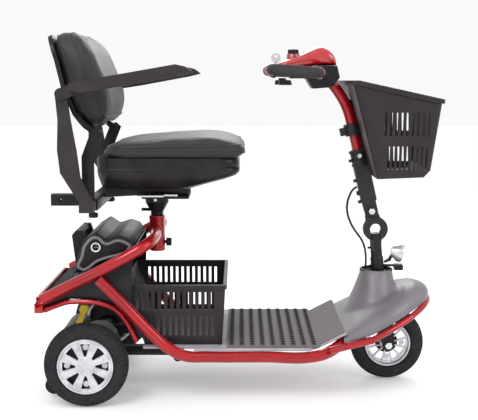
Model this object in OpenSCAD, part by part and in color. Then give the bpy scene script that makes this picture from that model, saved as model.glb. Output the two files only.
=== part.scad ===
// Three-wheel travel scooter. X runs forward, Y to the rider's left, Z up, millimetres.
// The origin is on the floor, under the middle of the scooter.

/* [Wheels] */
// Diameter of the two rear tyres
rear_tyre_d = 204; // [200:1:206]
// Diameter of the front tyre
front_tyre_d = 192; // [188:1:194]
// Width of a rear tyre
rear_tyre_w = 50; // [44:1:52]
// Width of the front tyre
front_tyre_w = 48; // [44:1:50]
// Distance between the rear and front axles
wheelbase = 758; // [752:1:762]

/* [Frame] */
// Diameter of the red frame tubes
tube_d = 28; // [24:1:28]
// Distance between the left and right frame tubes
frame_w = 406; // [402:2:406]
// Height of the top of the deck mat
deck_z = 139; // [138:1:140]

/* [Steering] */
// Backward lean of the steering stem, in degrees
rake = 5; // [4:1:6]
// Diameter of the steering stem in the head tube
stem_d = 30; // [26:1:30]

/* [Seat] */
// Diameter of the seat post
post_d = 32; // [28:1:32]
// Width of the seat cushion
cushion_w = 400; // [380:5:400]
// Width of the back cushion
back_w = 376; // [360:4:376]
// Height of the swivel plate's top face
swivel_z = 491; // [489:1:493]

/* [Arms] */
// Distance between the middles of the two arm pads
arm_w = 476; // [476:2:484]
// Width of an arm pad
pad_w = 46; // [40:2:46]

/* [Hidden] */
$fn = 48;
fit = 0.05;         // radial play of a pin or shaft in its bore
gap = 0.3;          // clearance between pieces that move past each other

red = "firebrick";
black = "#1c1b1e";
grey = "#59545c";
silver = "#b9b9c2";

tube_r = tube_d / 2;
rail_y = frame_w / 2;
rear_x = -368;
rear_z = rear_tyre_d / 2;
front_x = rear_x + wheelbase;
front_z = front_tyre_d / 2;
wheel_y = rail_y + 1 + rear_tyre_w / 2;

// ---- helpers: swept tubes and extruded side profiles ----

function unit(v) = v / norm(v);

// Points of a smooth curve through p, with n steps between neighbours.
function smooth_path(p, n) = concat(
    [for (i = [0 : len(p) - 2], k = [0 : n - 1])
        let (a = p[max(i - 1, 0)], b = p[i], c = p[i + 1], d = p[min(i + 2, len(p) - 1)], t = k / n)
        0.5 * (2 * b + (c - a) * t + (2 * a - 5 * b + 4 * c - d) * t * t
            + (3 * b - a - 3 * c + d) * t * t * t)],
    [p[len(p) - 1]]);

// One ring of points round each path point; ref is a direction the path never runs along.
function ring_points(path, r, sides, ref) =
    [for (i = [0 : len(path) - 1])
        let (t = unit(path[min(i + 1, len(path) - 1)] - path[max(i - 1, 0)]),
            u = unit(cross(ref, t)), v = cross(t, u))
        for (k = [0 : sides - 1]) path[i] + r * (cos(360 * k / sides) * u + sin(360 * k / sides) * v)];

module swept_tube(path, r, sides, ref) {
    n = len(path);
    polyhedron(
        points = ring_points(path, r, sides, ref),
        faces = concat(
            [[for (k = [0 : sides - 1]) k]],
            [for (i = [0 : n - 2], k = [0 : sides - 1])
                let (a = i * sides + k, b = i * sides + (k + 1) % sides)
                [a + sides, b + sides, b, a]],
            [[for (k = [0 : sides - 1]) n * sides - 1 - k]]),
        convexity = 6);
}

// A flat outline in X and Z, made solid from y0 to y1.
module side_profile(points, y0, y1) {
    translate([0, y1, 0]) rotate([90, 0, 0]) linear_extrude(y1 - y0) polygon(points);
}

// A cylinder along Y from y0 to y1 with its axis at x, z.
module cross_cylinder(x, z, y0, y1, r) {
    translate([x, y1, z]) rotate([90, 0, 0]) cylinder(h = y1 - y0, r = r);
}

module round_rect(x0, x1, half, r) {
    for (x = [x0 + r, x1 - r], y = [-half + r, half - r]) translate([x, y]) circle(r);
    translate([x0 + r, -half]) square([x1 - x0 - 2 * r, 2 * half]);
    translate([x0, -half + r]) square([x1 - x0, 2 * half - 2 * r]);
}

module left_side() {
    mirror([0, 1, 0]) children();
}

// ---- frame: red tubes, deck and black chassis ----

hoop_front_x = -213;
hoop_front_z = 394;
hoop_leg = [[-476, -rail_y, 255], [-433, -rail_y, 277], [-343, -rail_y, 322], [-262, -rail_y, 366]];
hoop_turn = [[-228, -rail_y + 12, 385], [hoop_front_x, -rail_y + 50, hoop_front_z]];
hoop_near = concat(hoop_leg, hoop_turn);
hoop_path = smooth_path(concat(hoop_near,
    [for (i = [len(hoop_near) - 1 : -1 : 0]) [hoop_near[i].x, -hoop_near[i].y, hoop_near[i].z]]), 4);
hoop_slope = atan2(366 - 322, 343 - 262);

module seat_hoop() {
    color(red) difference() {
        swept_tube(hoop_path, tube_r, 20, [0.44, 0, -0.9]);
        translate([hoop_front_x, 0, 330]) cylinder(h = 110, r = socket_r + fit);
    }
}

rail_path = smooth_path([[-346, -rail_y, 310], [-288, -rail_y, 252], [-216, -rail_y, 175],
    [-168, -rail_y, 132], [-130, -rail_y, 115], [-80, -rail_y, 113], [60, -rail_y, 113],
    [180, -rail_y, 113], [225, -185, 122], [270, -140, 147], [306, -84, 171], [332, -34, 228]], 4);

module side_rail() {
    color(red) difference() {
        swept_tube(rail_path, tube_r, 16, [0, 0, 1]);
        translate([-343, -rail_y, 322]) rotate([0, 90 - hoop_slope, 0])
            cylinder(h = 200, r = tube_r + gap, center = true);
        stem_line() translate([0, 0, 60]) cylinder(h = 200, r = head_tube_r + gap);
    }
}

deck_front_x = 197;
slope_x = 262;
slope_rise = 34;
mat_t = 5;
pan_t = 6;
deck_half = rail_y + 3;
pan_z = deck_z - mat_t;

module floor_pan() {
    color(grey) {
        translate([0, 0, pan_z - pan_t]) linear_extrude(pan_t) polygon([
            [-236, -186], [-110, -186], [-110, -deck_half], [172, -deck_half], [deck_front_x, -deck_half + 26],
            [deck_front_x, deck_half - 26], [172, deck_half], [-110, deck_half], [-110, 186], [-236, 186]]);
        side_profile([[deck_front_x, pan_z - pan_t], [deck_front_x, pan_z],
            [slope_x, pan_z + slope_rise], [slope_x + 4, pan_z + slope_rise - pan_t]],
            -deck_half + 26, deck_half - 26);
    }
}

mat_x0 = -30;
bump_rows = 9;

module floor_mat() {
    half = deck_half - 8;
    pitch = (deck_front_x - mat_x0) / bump_rows;
    color("#6f6a70") {
        translate([mat_x0, -half, pan_z]) cube([deck_front_x - mat_x0, 2 * half, mat_t - 2]);
        for (i = [0 : bump_rows - 1]) translate([mat_x0 + (i + 0.25) * pitch, -half + 6, pan_z])
            cube([pitch / 2, 2 * half - 12, mat_t]);
        side_profile([[deck_front_x, pan_z], [deck_front_x, pan_z + mat_t - 2],
            [slope_x - 3, pan_z + slope_rise + 1], [slope_x, pan_z + slope_rise]],
            -half + 20, half - 20);
    }
}

roller_x = -458;
roller_z = 32;
roller_y = 165;
arm_y = 105;

module chassis_frame() {
    color(black) {
        // cross bar between the rails, and the two arms that carry the drive unit
        cross_cylinder(-150, 108, -rail_y + tube_r + gap, rail_y - tube_r - gap, 11);
        for (s = [-1, 1]) {
            difference() {
                translate([-372, s * arm_y - 10, 92]) cube([222, 20, 24]);
                cross_cylinder(rear_x, rear_z, -200, 200, axle_tube_r + fit);
            }
            // bracket of each anti-tip roller, clamped round the axle tube
            translate([0, s * roller_y, 0]) difference() {
                union() {
                    cross_cylinder(rear_x, rear_z, -8, 8, 30);
                    side_profile([[-384, 78], [-392, 122], [-472, 44], [-452, 26]], -14, -10.5);
                    side_profile([[-384, 78], [-392, 122], [-472, 44], [-452, 26]], 10.5, 14);
                    side_profile([[-372, 74], [-372, 130], [-398, 116], [-398, 70]], -14, 14);
                    cross_cylinder(roller_x, roller_z, -18, -10.5, 9);
                    cross_cylinder(roller_x, roller_z, 10.5, 18, 9);
                    cross_cylinder(roller_x, roller_z, -18, 18, 5);
                }
                cross_cylinder(rear_x, rear_z, -20, 20, axle_tube_r + fit);
            }
        }
        // plate with the pivot pin of the freewheel lever
        difference() {
            side_profile([[-360, 92], [-360, 116], [-410, 166], [-426, 156], [-412, 110]],
                -138, -132);
            cross_cylinder(rear_x, rear_z, -150, -120, axle_tube_r + fit);
        }
        cross_cylinder(lever_x, lever_z, -150, -132, 4);
    }
}

// ---- drive unit, freewheel lever and anti-tip rollers ----

axle_tube_r = 22;
shaft_r = 8.5;
gear_r = 50;

module transaxle() {
    color(silver) difference() {
        union() {
            cross_cylinder(rear_x, rear_z, -196, 196, axle_tube_r);
            cross_cylinder(rear_x, rear_z, -48, 8, gear_r);
            translate([-432, -44, 84]) cube([64, 48, 62]);
            cross_cylinder(-432, 116, -44, 92, 34);
        }
        cross_cylinder(rear_x, rear_z, -200, 200, shaft_r + fit);
    }
}

lever_x = -408;
lever_z = 154;

module freewheel_lever() {
    color("#b08a2a") difference() {
        union() {
            cross_cylinder(lever_x, lever_z, -148, -138.3, 10);
            side_profile([[-416, 154], [-400, 154], [-378, 218], [-390, 222]], -146, -140);
            cross_cylinder(-384, 220, -156, -138.3, 11);
        }
        cross_cylinder(lever_x, lever_z, -160, -130, 4 + fit);
    }
}

module anti_tip_roller() {
    color(black) difference() {
        cross_cylinder(roller_x, roller_z, -roller_y - 10, -roller_y + 10, 22);
        cross_cylinder(roller_x, roller_z, -roller_y - 12, -roller_y + 12, 5 + fit);
    }
}

// ---- rear shroud, its red trim, battery and controller ----

shroud_half = 188;
wall = 4;
shroud_top = [[-488, 248], [-392, 312], [-345, 332], [-258, 374]];

module rear_shroud() {
    lower_edge = [[-246, 150], [-268, 202], [-300, 237], [-349, 252], [-409, 254], [-460, 232]];
    top_skin = concat(shroud_top, [for (i = [3 : -1 : 0]) shroud_top[i] - [0, wall]]);
    color(black) {
        for (y = [-shroud_half, shroud_half - wall])
            side_profile(concat([[-488, 230]], shroud_top, [[-262, 250], [-222, 168]], lower_edge),
                y, y + wall);
        side_profile(top_skin, -shroud_half + 1, shroud_half - 1);
        translate([-488, -shroud_half + 1, 232]) cube([wall, 2 * shroud_half - 2, 14]);
    }
}

trim_path = smooth_path([[-474, -194.5, 226], [-440, -194.5, 240], [-409, -194.5, 248],
    [-349, -194.5, 246], [-302, -194.5, 230], [-273, -194.5, 196], [-250, -194.5, 148]], 3);

module shroud_trim() {
    color(red) {
        swept_tube(trim_path, 6, 10, [0, 1, 0]);
        left_side() swept_tube(trim_path, 6, 10, [0, 1, 0]);
        difference() {
            translate([-494, -rail_y - 10, 224]) cube([20, 2 * rail_y + 20, 34]);
            translate([-488.3, -shroud_half - gap, 220]) cube([30, 2 * shroud_half + 2 * gap, 60]);
            for (s = [-1, 1]) translate([-476, s * rail_y, 255]) rotate([0, 90 - hoop_slope, 0])
                cylinder(h = 40, r = tube_r + gap, center = true);
        }
    }
}

battery_half = 150;
charger_x = -352;

module battery_case() {
    color("#2b2a2e") difference() {
        side_profile([[-408, 307], [-396, 352], [-383, 392], [-352, 412], [-326, 394], [-296, 404],
            [-272, 396], [-259, 376], [-345, 335], [-390, 315]], -battery_half, battery_half);
        // round charging inlet in the right side
        cross_cylinder(charger_x, 375, -battery_half - 1, -battery_half + 14, 8);
    }
}

module battery_handle() {
    color(black) {
        for (s = [-1, 1]) side_profile([[-409, 309], [-397, 352], [-388, 380], [-396, 404],
            [-414, 404], [-424, 392], [-418, 340], [-414, 312]], s * 62 - 9, s * 62 + 9);
        cross_cylinder(-409, 392, -56, 56, 12);
    }
}

module controller_box() {
    color(black) translate([-414, -110, 262]) cube([110, 220, 26]);
}

// ---- rear basket, standing on the deck under the seat ----

basket_t = 4;
rear_basket_half = 168;

module slot_row(x0, x1, z0, z1, count, half) {
    pitch = (x1 - x0) / count;
    for (i = [0 : count - 1]) translate([x0 + (i + 0.3) * pitch, -half, z0])
        cube([0.45 * pitch, 2 * half, z1 - z0]);
}

module rear_basket() {
    outer = [[-232, deck_z - 4.7], [-42, deck_z - 4.7], [-34, 284], [-291, 284]];
    inner = [[-225, deck_z - 0.7], [-46, deck_z - 0.7], [-38.5, 290], [-287, 290]];
    cross_slots = 9;
    color(black) difference() {
        union() {
            side_profile(outer, -rear_basket_half, rear_basket_half);
            translate([-292, -rear_basket_half - 5, 274])
                cube([262, 2 * rear_basket_half + 10, 10]);
        }
        side_profile(inner, -rear_basket_half + basket_t, rear_basket_half - basket_t);
        slot_row(-258, -58, 222, 266, 13, 200);
        slot_row(-222, -58, 158, 206, 11, 200);
        for (i = [0 : cross_slots - 1])
            translate([-300, (i - cross_slots / 2 + 0.28) * 34, 222]) cube([280, 15, 44]);
        for (i = [0 : cross_slots - 1])
            translate([-90, (i - cross_slots / 2 + 0.28) * 34, 158]) cube([80, 15, 48]);
    }
}

// ---- seat post socket ----

socket_r = 21;

module post_socket() {
    color(red) difference() {
        translate([hoop_front_x, 0, 342]) cylinder(h = 92, r = socket_r);
        translate([hoop_front_x, 0, 340]) cylinder(h = 96, r = post_d / 2 + fit);
        translate([hoop_front_x, 0, 364]) rotate([0, 90, 0]) cylinder(h = 40, r = 4 + fit);
    }
}

module post_clamp() {
    color(black) translate([hoop_front_x, 0, 364]) rotate([0, 90, 0]) {
        translate([0, 0, post_d / 2 + gap]) cylinder(h = 20, r = 4);
        translate([0, 0, socket_r + 2]) cylinder(h = 14, r = 11, $fn = 6);
    }
}

// ---- front shroud, bumper and head tube ----

// The steering axis leans back by rake and passes 10 mm behind the front axle.
stem_x = front_x - 10;
head_tube_r = 24;

module stem_line() {
    translate([stem_x, 0, front_z]) rotate([0, -rake, 0]) children();
}

// Cross-sections of the nose: x, half width and height of the lower edge, then of the crown.
nose_stations = [[258, 184, 142, 130, 166], [329, 165, 157, 88, 214], [385, 136, 180, 70, 238],
    [423, 108, 200, 58, 262], [455, 80, 215, 46, 260], [482, 48, 230, 28, 250], [493, 20, 237, 10, 243]];

module nose_section(s, inset) {
    side = s[1] - inset;
    crown = s[3] - inset / 2;
    waist = (side * 0.9 + crown * 0.1);
    translate([s.x, 0, 0]) rotate([90, 0, 90]) linear_extrude(1) polygon([
        [-side, s[2] - inset], [-waist, s[2] * 0.6 + s[4] * 0.4 - inset], [-crown, s[4] - inset],
        [crown, s[4] - inset], [waist, s[2] * 0.6 + s[4] * 0.4 - inset], [side, s[2] - inset]]);
}

module nose_hull(inset, last) {
    for (i = [0 : last - 1]) hull() {
        nose_section(nose_stations[i], inset);
        nose_section(nose_stations[i + 1], inset);
    }
}

module skirt_hull(inset) {
    hull() {
        for (p = [[264, 100, 156], [330, 120, 175], [405, 88, 225]], side = [-1, 1])
            translate([p.x + (p.x < stem_x ? inset : -inset), side * (p.y - inset), p.z - inset])
                cube(1, center = true);
        translate([359, 0, 290 - inset]) cylinder(h = 4, r = 42 - inset, $fn = 32);
    }
}

module front_shroud() {
    color(grey) difference() {
        union() {
            nose_hull(0, 6);
            skirt_hull(0);
        }
        nose_hull(5, 5);
        skirt_hull(5);
        translate([359, 0, 200]) cylinder(h = 120, r = 37);
        side_profile([[deck_front_x - 20, 100], [deck_front_x - 20, pan_z + 8], [slope_x - 2, pan_z + 44],
            [slope_x + 8, pan_z + slope_rise], [slope_x + 8, 100]], -deck_half, deck_half);
    }
}

bumper_path = smooth_path([[212, -213, 130], [262, -194, 136], [329, -173, 146],
    [404, -133, 176], [446, -102, 196], [480, -58, 214], [491, 0, 220],
    [480, 58, 214], [446, 102, 196], [404, 133, 176], [329, 173, 146],
    [262, 194, 136], [212, 213, 130]], 3);

module front_bumper() {
    color(red) difference() {
        swept_tube(bumper_path, 9, 12, [0, 0, 1]);
        translate([deck_front_x, -deck_half - 20, 100]) cube([26, 2 * deck_half + 40, 60]);
    }
}

bearing_h = 12;

module head_tube() {
    color(black) stem_line() difference() {
        translate([0, 0, 112]) cylinder(h = 78, r = head_tube_r);
        translate([0, 0, 110]) cylinder(h = 82, r = stem_d / 2 + 1);
        for (z = [110, 190 - bearing_h]) translate([0, 0, z]) cylinder(h = bearing_h + 2, r = stem_d / 2 + 5);
    }
}

module head_bearings() {
    color(silver) stem_line() for (z = [112, 190 - bearing_h]) translate([0, 0, z]) difference() {
        cylinder(h = bearing_h, r = stem_d / 2 + 5);
        translate([0, 0, -1]) cylinder(h = bearing_h + 2, r = stem_d / 2 + fit);
    }
}

// ---- steering stem, fork and front wheel ----

fork_half = 30;
axle_r = 6;

module steering_fork() {
    color(black) {
        stem_line() {
            translate([0, 0, 100]) cylinder(h = 192, r = stem_d / 2);
            translate([0, 0, 192]) cylinder(h = 34, r = 17);
            translate([0, 0, 226]) cylinder(h = 14, r1 = 17, r2 = 12);
            translate([-30, -fork_half - 8, 100]) cube([56, 2 * fork_half + 16, 11]);
            // loom clips behind the stem
            translate([-22, -3, 204]) cube([10, 6, 5]);
            translate([-22, -3, 252]) cube([12, 6, 5]);
        }
        for (s = [-1, 1]) difference() {
            union() {
                side_profile([[344, 196], [396, 201], [406, 96], [374, 96]],
                    s * (fork_half + 4) - 4, s * (fork_half + 4) + 4);
                cross_cylinder(front_x, front_z, s * (fork_half + 4) - 4, s * (fork_half + 4) + 4, 16);
            }
            cross_cylinder(front_x, front_z, -60, 60, axle_r + fit);
        }
    }
}

module front_axle() {
    color(silver) {
        cross_cylinder(front_x, front_z, -fork_half - 12, fork_half + 12, axle_r);
        for (y = [-fork_half - 16, fork_half + 8.3])
            translate([front_x, y + 7.7, front_z]) rotate([90, 0, 0]) cylinder(h = 7.7, r = 10, $fn = 6);
    }
}

// Tyre outline at radius and half width, turned about the wheel's axis along Y.
module tyre(outer, inner, width) {
    shoulder = width / 4;
    rotate([90, 0, 0]) rotate_extrude() polygon([
        [inner, -width / 2 + 4], [inner + 5, -width / 2], [outer - shoulder, -width / 2],
        [outer - shoulder * 0.45, -width / 2 + shoulder * 0.4],
        [outer, -width / 2 + shoulder], [outer, width / 2 - shoulder],
        [outer - shoulder * 0.45, width / 2 - shoulder * 0.4],
        [outer - shoulder, width / 2], [inner + 5, width / 2], [inner, width / 2 - 4]]);
}

// A cast wheel: barrel, disc with windows and hub; the disc faces the -Y side.
module cast_wheel(r, width, windows, hub_r, bore, disc_y) {
    window_in = hub_r + 7;
    window_out = r - 13;
    rotate([90, 0, 0]) {
        difference() {
            union() {
                translate([0, 0, -width / 2]) cylinder(h = width, r = r);
            }
            translate([0, 0, -width / 2 - 1]) cylinder(h = width + 2, r = r - 5);
        }
        difference() {
            union() {
                translate([0, 0, disc_y]) cylinder(h = 8, r = r - 4);
                translate([0, 0, -width / 2]) cylinder(h = width, r = hub_r);
            }
            translate([0, 0, -width]) cylinder(h = 2 * width, r = bore);
            for (i = [0 : windows - 1]) rotate(360 * i / windows) translate([0, 0, disc_y - 1])
                linear_extrude(10) polygon([
                    [window_in, -0.15 * window_in], [window_out - 4, -0.26 * window_out],
                    [window_out, -0.2 * window_out], [window_out, 0.2 * window_out],
                    [window_out - 4, 0.26 * window_out], [window_in, 0.15 * window_in]]);
        }
    }
}

front_rim_r = front_z - 36;
rear_rim_r = rear_z - 34;

module front_rim() {
    color(silver) translate([front_x, 0, front_z])
        cast_wheel(front_rim_r, 44, 8, 15, axle_r + fit, 8);
}

module front_tyre() {
    color(black) translate([front_x, 0, front_z]) tyre(front_z, front_rim_r, front_tyre_w);
}

module rear_rim() {
    color(silver) translate([rear_x, -wheel_y, rear_z]) {
        cast_wheel(rear_rim_r, 46, 8, 16, 4, 10);
        // half shaft, running in the axle tube
        difference() {
            cross_cylinder(0, 0, -12, wheel_y - 60, shaft_r);
            cross_cylinder(0, 0, -40, 6, 4);
        }
    }
}

module rear_tyre() {
    color(black) translate([rear_x, -wheel_y, rear_z]) tyre(rear_z, rear_rim_r, rear_tyre_w);
}

// ---- tilt knuckle and tiller ----

ring_x = 355;
ring_z = 398;
tilt_x = 343;
tilt_z = 446;

module tilt_knuckle() {
    color(black) difference() {
        union() {
            side_profile([[342, 372], [371, 372], [370, 345], [367, 336], [350, 334], [345, 345]], -15, 15);
            cross_cylinder(ring_x, ring_z, -11, 11, 32);
            side_profile([[330, 410], [327, 446], [359, 446], [372, 418]], -9, 9);
            cross_cylinder(tilt_x, tilt_z, -9, 9, 16);
        }
        cross_cylinder(ring_x, ring_z, -20, 20, 14);
        cross_cylinder(tilt_x, tilt_z, -20, 20, 6 + fit);
        stem_line() translate([0, 0, 150]) cylinder(h = 92, r = 17 + gap / 10);
        stem_line() translate([0, 0, 242]) cylinder(h = 60, r = stem_d / 2 + gap / 10);
    }
}

module tilt_bolt() {
    color(silver) {
        cross_cylinder(tilt_x, tilt_z, -22, 22, 6);
        for (y = [-22.3, 16.3]) translate([tilt_x, y + 6, tilt_z]) rotate([90, 0, 0])
            cylinder(h = 6, r = 9, $fn = 6);
    }
}

// Middle line of the tiller, from the knuckle up to the control head.
tiller_low = [343, 0, 446];
tiller_mid = [289, 0, 672];
tiller_lean = atan2(tiller_low.x - tiller_mid.x, tiller_mid.z - tiller_low.z);

module along_tiller() {
    translate(tiller_low) rotate([0, -tiller_lean, 0]) children();
}

module tiller_casting() {
    color(black) difference() {
        union() {
            // fork ears either side of the knuckle
            for (y = [-15.7, 9.3]) {
                cross_cylinder(tilt_x, tilt_z, y, y + 6.4, 17);
                side_profile([[327, 440], [359, 450], [347, 500], [313, 490]], y, y + 6.4);
            }
            along_tiller() {
                translate([-20, -16, 26]) cube([40, 32, 110]);
                translate([0, 0, 120]) cylinder(h = 44, r = 21);
                translate([-27, -5, 46]) cube([12, 10, 12]);
            }
        }
        cross_cylinder(tilt_x, tilt_z, -30, 30, 6 + fit);
        cross_cylinder(tilt_x, tilt_z, -9.3, 9.3, 16 + gap);
        along_tiller() translate([0, 0, 60]) cylinder(h = 140, r = tube_r + fit);
    }
}

tube_path = concat([for (f = [0.27, 0.5, 0.75]) tiller_low + f * (tiller_mid - tiller_low)],
    smooth_path([tiller_mid, [283, 0, 694], [272, 0, 722], [258, 0, 746], [240, 0, 770], [222, 0, 788]], 3));

module tiller_tube() {
    color(red) swept_tube(tube_path, tube_r, 20, [0, 1, 0]);
}

// ---- control head ----

loop_half = 188;

function loop_z(x) = 808 - (x - 63) * 0.07;
loop_points = [[200, -34], [200, -90], [190, -150], [166, -loop_half], [124, -loop_half - 3],
    [92, -loop_half], [78, -140], [76, -80], [82, -34]];
loop_path = smooth_path([for (p = loop_points) [p.x, p.y, loop_z(p.x)]], 4);

module handlebar() {
    color(black) {
        swept_tube(loop_path, 9, 12, [0, 0, 1]);
        left_side() swept_tube(loop_path, 9, 12, [0, 0, 1]);
    }
}

grip_path = [for (i = [11 : 27]) loop_path[i]];

module hand_grip() {
    difference() {
        swept_tube(grip_path, 14, 14, [0, 0, 1]);
        swept_tube([for (i = [10 : 28]) loop_path[i]], 9.02, 12, [0, 0, 1]);
    }
}

module hand_grips() {
    color("#2a262a") {
        hand_grip();
        left_side() hand_grip();
    }
}

head_half = 46;

module control_housing() {
    color(black) difference() {
        side_profile([[80, 804], [76, 792], [106, 780], [136, 786], [170, 786], [186, 760],
            [234, 764], [254, 788], [247, 818], [206, 818]], -head_half + 4, head_half - 4);
        // socket for the tiller tube
        translate([222, 0, 788]) rotate([0, -45, 0]) translate([0, 0, -60]) cylinder(h = 66, r = tube_r + 1.5);
        loop_clearance();
        // pocket in which the throttle rocks
        translate([90, -head_half, 770]) cube([40, 2 * head_half, 20]);
    }
}

module loop_clearance() {
    for (s = [-1, 1], x = [200, 80]) translate([x, s * 26, loop_z(x)]) rotate([90, 0, 0])
        cylinder(h = 40, r = 11.2, center = true);
}

module control_console() {
    color(red) difference() {
        union() {
            hull() for (p = [[82, 812], [96, 822], [130, 832], [168, 846], [206, 866], [228, 856], [238, 834]],
                y = [-head_half + 8, head_half - 8]) translate([p.x, y, p.y - 8]) sphere(r = 8, $fn = 32);
            translate([dial_x, 0, 820]) cylinder(h = 28, r = 17);
        }
        side_profile([[60, 780], [60, 804.3], [206, 818.3], [260, 818.3], [260, 780]], -60, 60);
        loop_clearance();
        translate([dial_x, 0, 836]) cylinder(h = 20, r = 4 + fit);
        translate([key_x, 0, 812]) cylinder(h = 30, r = 4 + fit);
        translate([horn_x, 26, 810]) cylinder(h = 60, r = 8 + gap);
    }
}

throttle_x = 110;

module throttle_lever() {
    color(black) {
        cross_cylinder(throttle_x, 779, -138, 138, 6);
        for (s = [-1, 1]) side_profile([[96, 770], [98, 782], [124, 782], [128, 770]],
            s * 122 - 26, s * 122 + 26);
        translate([throttle_x, 0, 771]) cylinder(h = 16, r = 9);
    }
}

dial_x = 138;
key_x = 94;
horn_x = 176;

module speed_dial() {
    color(black) {
        translate([dial_x, 0, 837]) cylinder(h = 14, r = 4);
        difference() {
            translate([dial_x, 0, 848 + gap]) cylinder(h = 11, r = 14);
            for (a = [0 : 30 : 330]) translate([dial_x, 0, 850]) rotate(a) translate([15, 0, 0])
                cylinder(h = 20, r = 2.2, $fn = 16);
        }
    }
}

module ignition_key() {
    color(silver) {
        translate([key_x, 0, 813]) cylinder(h = 16, r = 4);
        difference() {
            cross_cylinder(key_x, 838, -1.5, 1.5, 12);
            cross_cylinder(key_x, 842, -3, 3, 4);
        }
    }
}

module horn_button() {
    color("goldenrod") translate([horn_x, 26, 822]) cylinder(h = 32, r = 8);
}

// ---- front basket and its bracket ----

basket_top_half = 165;
basket_low_half = 132;

// A tapered tub between a bottom and a slanted rim, drawn in by inset.
module basket_hull(inset, lift) {
    hull() for (s = [-1, 1]) {
        for (p = [[345, 541], [448, 545], [464, 562]])
            translate([p.x + (p.x < 400 ? inset : -inset), s * (basket_low_half - inset - 6), p.y + inset])
                cylinder(h = 1, r = 6, $fn = 24);
        for (p = [[284, 778], [478, 735]])
            translate([p.x + (p.x < 400 ? inset : -inset), s * (basket_top_half - inset - 12), p.y + lift])
                cylinder(h = 1, r = 12, $fn = 24);
    }
}

// Channel in the basket's back wall, round the tiller and the bracket plate.
module tiller_recess(t) {
    along_tiller() translate([-70, -27 - t, 80]) cube([96.1 + t, 54 + 2 * t, 212 + t]);
}

module front_basket() {
    slots = 9;
    color(black) difference() {
        union() {
            basket_hull(0, 0);
            // rolled rim
            hull() for (s = [-1, 1], p = [[280, 771], [482, 726]])
                translate([p.x, s * (basket_top_half - 8), p.y]) cylinder(h = 10, r = 13, $fn = 24);
        }
        difference() {
            basket_hull(4, 14);
            tiller_recess(3);
        }
        tiller_recess(0);
        for (i = [0 : slots - 1]) {
            translate([352 + i * 13, -200, 646]) cube([6, 400, 58]);
            translate([362 + i * 11.5, -200, 564]) cube([5.5, 400, 58]);
        }
        for (i = [0 : slots - 1]) translate([440, (i - 4) * 27 - 5, 646]) cube([60, 10, 58]);
        for (i = [0 : slots - 1]) translate([440, (i - 4) * 23 - 4, 574]) cube([60, 8, 48]);
    }
}

module basket_bracket() {
    color(black) {
        along_tiller() difference() {
            union() {
                translate([0, 0, 202]) cylinder(h = 30, r = 22);
                translate([-34, -9, 206]) cube([20, 18, 20]);
                // plate along the basket's back wall
                translate([21.6, -24, 112]) cube([4, 48, 124]);
            }
            translate([0, 0, 190]) cylinder(h = 60, r = tube_r + fit);
        }
    }
}

// ---- lamp, horn and wiring loom, all turning with the stem ----

module headlight() {
    color(silver) {
        difference() {
            side_profile([[376, 307], [376, 313], [390, 320], [396, 330], [402, 330], [396, 314]], -6, 6);
            stem_line() translate([0, 0, 190]) cylinder(h = 50, r = 17 + fit);
        }
        side_profile([[364, 306], [364, 314], [380, 310], [380, 300]], 18, 22);
        translate([398, 0, 340]) rotate([0, 105, 0]) {
            cylinder(h = 20, r1 = 13, r2 = 24);
            translate([0, 0, 20]) cylinder(h = 10, r = 24);
        }
    }
}

module horn_box() {
    color(black) {
        difference() {
            side_profile([[376, 299], [376, 304], [406, 304], [406, 299]], -6, 6);
            stem_line() translate([0, 0, 180]) cylinder(h = 60, r = 17 + fit);
        }
        difference() {
            translate([406, -13, 290]) cube([22, 26, 14]);
            translate([412, -9, 293]) cube([30, 18, 8]);
        }
    }
}

// Route of the loom, from the tiller casting down into the shroud.
loom_route = [[305.5, 0, 508], [296, 0, 501], [287, 0, 485], [281, 0, 462], [282, 0, 440],
    [288, 0, 420], [298, 0, 400], [310, 0, 383], [320, 0, 369], [327, 0, 352], [331, 0, 332],
    [332, 0, 312], [331, 0, 292], [332, 0, 276]];

module wiring_loom() {
    color(black) swept_tube(smooth_path(loom_route, 2), 2.8, 8, [0, 1, 0]);
}

// ---- seat post, swivel and seat frame ----

post_x = hoop_front_x;
post_top = swivel_z - 22;

module seat_post() {
    color(black) {
        difference() {
            translate([post_x, 0, 348]) cylinder(h = post_top - 348, r = post_d / 2);
            translate([post_x, 0, 340]) cylinder(h = 60, r = post_d / 2 - 3);
        }
        translate([post_x, 0, post_top - 26]) cylinder(h = 26, r1 = post_d / 2, r2 = 30);
        translate([post_x, 0, post_top]) cylinder(h = 16, r = 12);
        // detent pin behind the post
        translate([post_x - 40, 0, 449]) rotate([0, 90, 0]) cylinder(h = 40, r = 4);
    }
}

module swivel_plate() {
    color(black) difference() {
        union() {
            translate([post_x - 34, -60, swivel_z - 8]) cube([120, 120, 8]);
            translate([post_x, 0, post_top + gap]) cylinder(h = 22 - gap - 4, r = 30);
        }
        translate([post_x, 0, post_top - 2]) cylinder(h = 40, r = 12 + fit);
        translate([post_x, -51, swivel_z - 20]) cylinder(h = 40, r = 4 + fit);
    }
}

module swivel_lever() {
    color(silver) {
        translate([post_x, -51, swivel_z - 14]) cylinder(h = 18, r = 4);
        translate([post_x - 12, -68, swivel_z + gap]) cube([70, 20, 4]);
        translate([post_x - 42, -88, swivel_z + gap]) cube([66, 24, 4]);
    }
}

cross_x = -355;
cross_z = 484;
bar_out = 14;
bar_in = 11;
seat_bottom = 518;

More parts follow.
